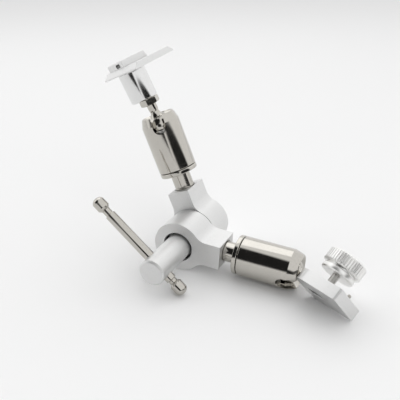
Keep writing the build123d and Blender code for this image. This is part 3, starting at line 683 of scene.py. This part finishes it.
# ---------------------------------------------------------------- lower clamp
class ARM_OT_clamp_plate(bpy.types.Operator):
    """Clamp plate with its window, and the guide pin"""
    bl_idname = "arm.clamp_plate"
    bl_label = "Clamp plate"

    def execute(self, context):
        s, look = context.scene.arm_sizes, finishes()
        place = LOWER_STUD_SEAT
        mid, t = -0.5 * MM, s.clamp_t / 2
        y, z0, z1, c = s.clamp_w / 2, s.clamp_at, s.clamp_at + s.clamp_l, 0.8 * MM
        big, small = s.clamp_w / 3, s.clamp_w * 0.18
        outline = (arc(y - big, z0 + big, big, -math.pi / 2, 0, 24) + arc(y - c, z1 - c, c, 0, math.pi / 2, 6)
                   + arc(-y + c, z1 - c, c, math.pi / 2, math.pi, 6)
                   + arc(-y + small, z0 + small, small, math.pi, 1.5 * math.pi, 16))
        plate = moved(plate_mesh("clamp_plate", outline, mid - t, mid + t), PRISM_ON_X)
        face = mid - t
        window = rounded_slot(s.window_w / 2, s.window_l / 2, 1.6 * MM, s.screw_at - 2.2 * MM, 8)
        tools = [moved(plate_mesh("cutter", window, face - MM, face + s.window_depth), PRISM_ON_X),
                 moved(rod_mesh(s.screw_d / 2 + 0.1 * MM, mid - MM, mid + t + MM, 64),
                       Matrix.Translation((0, 0, s.screw_at)) @ ALONG_X),
                 rod_mesh(1.75 * MM, z0 - MM, z0 + 3.8 * MM, 48)]
        add_piece("clamp_plate_body", cut(plate, *tools), place, "clamp_plate", ["clamp_plate"],
                  look["plate_aluminium"], 0.3 * MM)
        lo, hi = mid + 0.2 * MM, mid + t + 2.2 * MM
        profile = softened([(0, lo), (0.8 * MM, lo), (0.8 * MM, hi - 0.4 * MM), (0.4 * MM, hi), (0, hi)],
                           0.15 * MM, closed=False)
        pin = turned_mesh("guide_pin", profile, 48)
        pin_place = place @ Matrix.Translation((0, -2.2 * MM, z1 - 3.2 * MM)) @ ALONG_X
        add_piece("guide_pin_round", pin, pin_place, "clamp_plate", ["guide_pin"],
                  look["polished_steel"])
        return {"FINISHED"}


def flute_reach(s, z0, z1):
    """Radius of the fluted drum between heights z0 and z1."""
    depth, share = 0.34 * MM, 0.46

    def reach(angle, r, z):
        if not z0 - 1e-6 < z < z1 + 1e-6 or r < s.flange_d / 2 - 0.4 * MM:
            return r
        phase = abs(((angle * s.flutes / TAU) % 1.0) - 0.5) * 2
        notch = max(0.0, 1 - phase / share)
        return min(r, s.knob_d / 2 - depth * min(1.0, notch * 1.25))
    return reach


class ARM_OT_thumb_screw(bpy.types.Operator):
    """Fluted thumb knob, its threaded stem and the pressure pad"""
    bl_idname = "arm.thumb_screw"
    bl_label = "Thumb screw"

    def execute(self, context):
        s, look = context.scene.arm_sizes, finishes()
        back = -0.5 * MM + s.clamp_t / 2
        axis = LOWER_STUD_SEAT @ Matrix.Translation((0, 0, s.screw_at)) @ ALONG_X
        rd, rf = s.knob_d / 2, s.flange_d / 2
        z1 = s.flange_t
        z2 = z1 + 0.8 * MM
        z3 = z2 + s.knob_t
        bore = s.screw_d / 2
        lower = softened([(bore, 0), (rf - 0.5 * MM, 0), (rf, 0.5 * MM), (rf, z1 - 0.3 * MM), (rf - 0.3 * MM, z1),
                          (rf - 1.0 * MM, z1), (rf - 1.0 * MM, z2), (rd - 0.6 * MM, z2), (rd, z2 + 0.6 * MM)],
                         0.12 * MM, closed=False)
        drum = [(rd, z2 + 0.6 * MM + (z3 - z2 - 1.3 * MM) * i / 6) for i in range(1, 6)]
        upper = softened([(rd, z3 - 0.7 * MM), (rd - 0.7 * MM, z3), (3.2 * MM, z3), (2.8 * MM, z3 - 0.5 * MM),
                          (0, z3 - 0.5 * MM)], 0.12 * MM, closed=False)
        knob = turned_mesh("thumb_knob", [(0, 6 * MM), (bore, 6 * MM)] + lower + drum + upper, s.flutes * 14,
                           reach=flute_reach(s, z2, z3))
        add_piece("thumb_knob_fluted", knob, axis @ Matrix.Translation((0, 0, back + s.knob_at)), "thumb_screw",
                  ["thumb_knob"], look["knurled_steel"], crease=30)
        lo, hi, r = back - 2.3 * MM, back + s.knob_at + 6 * MM, s.screw_d / 2
        pitch, root = 0.6 * MM, r - 0.26 * MM
        thread = [(0, lo), (r - 0.35 * MM, lo)]
        turns = int((s.knob_at + 2.3 * MM) / pitch) + 1
        for k in range(turns):
            z = lo + (0.2 + 0.6 * k) * MM
            thread += [(root, z), (r, z + 0.24 * MM), (r, z + 0.32 * MM), (root, z + 0.56 * MM)]
        thread += [(r, lo + (0.4 + 0.6 * turns) * MM), (r, hi), (0, hi)]
        add_piece("thumb_stem_threaded", turned_mesh("thumb_stem", thread, 64), axis, "thumb_screw", ["thumb_stem"],
                  look["turned_steel"], crease=60)
        top = back - 2.35 * MM
        low, r = top - 0.9 * MM, 1.6 * MM
        profile = softened([(0, low), (r, low), (r, top), (0, top)], 0.15 * MM, closed=False)
        pad = turned_mesh("pressure_pad", profile, 64)
        add_piece("pressure_pad_disc", pad, axis, "pressure_pad", ["pressure_pad"],
                  look["turned_steel"])
        return {"FINISHED"}


class ARM_OT_inner_parts(bpy.types.Operator):
    """Finishes for the pieces inside the blocks and housings"""
    bl_idname = "arm.inner_parts"
    bl_label = "Inner parts"

    def execute(self, context):
        look = finishes()
        slots = {p["node"]: p["material_slot"] for p in frame["record"]["subparts"]}
        for name in ("centre_bush", "key_pin", "thrust_washer", "wedge_shaft", "release_spring",
                     "lower_snap_ring", "upper_snap_ring", "lower_push_rod", "upper_push_rod",
                     "lower_ball_seat", "upper_ball_seat"):
            place = ARM_SEATS.get(name.split("_")[0], FRONT_SEAT)
            mesh = frame["nodes"][name].data
            mesh.materials.clear()
            mesh.materials.append(look[slots[name]](place))
        return {"FINISHED"}


# ---------------------------------------------------------------- stage
CAMERA_ELEVATION = math.radians(25.0)
CAMERA_DISTANCE = 0.256
CAMERA_LENS = 48.0
AIM_RIGHT, AIM_UP = 3.44 * MM, 15.29 * MM     # the camera aims this far to the right of the pivot and above it
FLOOR_RADIUS = 60.0
# dark patches of the surroundings: direction, squash in height, radius of the dark middle, radius of the soft edge
DARK_PATCHES = (
    ((0.72, -0.69, 0.07), 2.0, 0.44, 0.62),
    ((-0.60, -0.50, 0.60), 1.0, 0.46, 0.66),
    ((-0.16, -0.97, 0.17), 1.0, 0.22, 0.36),
)


def add_light(name, position, target, size, power, tint=(1, 1, 1)):
    data = bpy.data.lights.new(name, "AREA")
    data.shape, data.size, data.size_y = "RECTANGLE", size[0], size[1]
    data.energy, data.color = power, tint
    lamp = bpy.data.objects.new(name, data)
    bpy.context.scene.collection.objects.link(lamp)
    lamp.location = position
    lamp.rotation_mode = "QUATERNION"
    lamp.rotation_quaternion = (Vector(target) - Vector(position)).to_track_quat("-Z", "Y")
    return lamp


def world_light(strength):
    """White surroundings with a dark room behind the viewer, which polished metal shows as dark bands."""
    world = bpy.data.worlds.new("studio")
    bpy.context.scene.world = world
    world.use_nodes = True
    tree = world.node_tree
    ray = node(tree, "ShaderNodeTexCoord").outputs["Generated"]
    level = None
    for middle, squash, inner, outer in DARK_PATCHES:
        offset = node(tree, "ShaderNodeVectorMath", _operation="SUBTRACT", i0=ray, i1=middle).outputs[0]
        offset = node(tree, "ShaderNodeVectorMath", _operation="MULTIPLY", i0=offset,
                      i1=(1.0, 1.0, squash)).outputs[0]
        away = node(tree, "ShaderNodeVectorMath", _operation="LENGTH", i0=offset).outputs["Value"]
        patch = node(tree, "ShaderNodeMapRange", _interpolation_type="SMOOTHSTEP", Value=away, From_Min=inner,
                     From_Max=outer, To_Min=0.02, To_Max=1.0).outputs[0]
        if level is not None:
            patch = node(tree, "ShaderNodeMath", _operation="MULTIPLY", i0=level, i1=patch).outputs[0]
        level = patch
    level = node(tree, "ShaderNodeMath", _operation="MULTIPLY", i0=level, i1=strength).outputs[0]
    background = tree.nodes["Background"]
    background.inputs["Color"].default_value = (1.0, 1.0, 1.0, 1.0)
    tree.links.new(level, background.inputs["Strength"])


class ARM_OT_stage(bpy.types.Operator):
    """Pale floor, soft light and camera"""
    bl_idname = "arm.stage"
    bl_label = "Stage"

    def execute(self, context):
        scene = context.scene
        rim = arc(0, 0, FLOOR_RADIUS, 0, TAU, 96)[:-1]
        mesh = plate_mesh("floor", rim, -10 * MM, 0)
        floor = bpy.data.objects.new("floor", mesh)
        scene.collection.objects.link(floor)
        mat = bpy.data.materials.new("pale_floor")
        mat.use_nodes = True
        shader = mat.node_tree.nodes["Principled BSDF"]
        grain = node(mat.node_tree, "ShaderNodeTexNoise", Scale=60.0, Detail=3.0).outputs["Fac"]
        tone = node(mat.node_tree, "ShaderNodeMapRange", Value=grain, To_Min=0.985, To_Max=1.0).outputs[0]
        tint = node(mat.node_tree, "ShaderNodeVectorMath", _operation="SCALE",
                    Vector=tuple(scene.arm_colours.floor), Scale=tone)
        mat.node_tree.links.new(tint.outputs[0], shader.inputs["Base Color"])
        shader.inputs["Roughness"].default_value = 0.6
        shader.inputs["Specular IOR Level"].default_value = 0.25
        mesh.materials.append(mat)
        world_light(1.03)
        centre = Vector((0, 0, 0.03))
        add_light("overhead", (-0.10, 0.55, 0.9), centre, (1.1, 0.8), 1.9)
        add_light("left", (-0.8, 0.15, 0.5), centre, (0.5, 0.6), 0.4)
        fill = add_light("front_fill", (0.3, -0.9, 0.6), centre, (1.0, 0.6), 2.9)
        fill.visible_glossy = False
        cam = bpy.data.objects.new("camera", bpy.data.cameras.new("camera"))
        scene.collection.objects.link(cam)
        back = Vector((0, -math.cos(CAMERA_ELEVATION), math.sin(CAMERA_ELEVATION)))
        up = Vector((0, math.sin(CAMERA_ELEVATION), math.cos(CAMERA_ELEVATION)))
        aim = PIVOT + Vector((1, 0, 0)) * AIM_RIGHT + up * AIM_UP
        cam.location = aim + back * CAMERA_DISTANCE
        cam.rotation_mode = "QUATERNION"
        cam.rotation_quaternion = (-back).to_track_quat("-Z", "Y")
        cam.data.lens, cam.data.sensor_width = CAMERA_LENS, 36.0
        cam.data.clip_start = 0.01
        scene.camera = cam
        scene.view_settings.view_transform = "Standard"
        return {"FINISHED"}


class ARM_PT_panel(bpy.types.Panel):
    """Lists the pieces of the arm"""
    bl_idname = "ARM_PT_panel"
    bl_label = "Locking Arm"
    bl_space_type = "VIEW_3D"
    bl_region_type = "UI"
    bl_category = "Locking Arm"

    def draw(self, context):
        for step in STEPS:
            self.layout.operator(step.bl_idname)
        for group in (context.scene.arm_sizes, context.scene.arm_colours):
            for key in group.__annotations__:
                self.layout.prop(group, key)


STEPS = (ARM_OT_clamp_blocks, ARM_OT_spindle, ARM_OT_sliding_bar, ARM_OT_stubs, ARM_OT_housings,
         ARM_OT_ball_studs, ARM_OT_head, ARM_OT_clamp_plate, ARM_OT_thumb_screw, ARM_OT_inner_parts, ARM_OT_stage)
CLASSES = (ArmSizes, ArmColours) + STEPS + (ARM_PT_panel,)


def register():
    for cls in CLASSES:
        bpy.utils.register_class(cls)
    bpy.types.Scene.arm_sizes = PointerProperty(type=ArmSizes)
    bpy.types.Scene.arm_colours = PointerProperty(type=ArmColours)


def unregister():
    del bpy.types.Scene.arm_colours
    del bpy.types.Scene.arm_sizes
    for cls in reversed(CLASSES):
        bpy.utils.unregister_class(cls)


def main():
    register()
    for step in STEPS:
        group, name = step.bl_idname.split(".")
        getattr(getattr(bpy.ops, group), name)()
    bpy.context.view_layer.update()


if __name__ == "__main__":
    main()
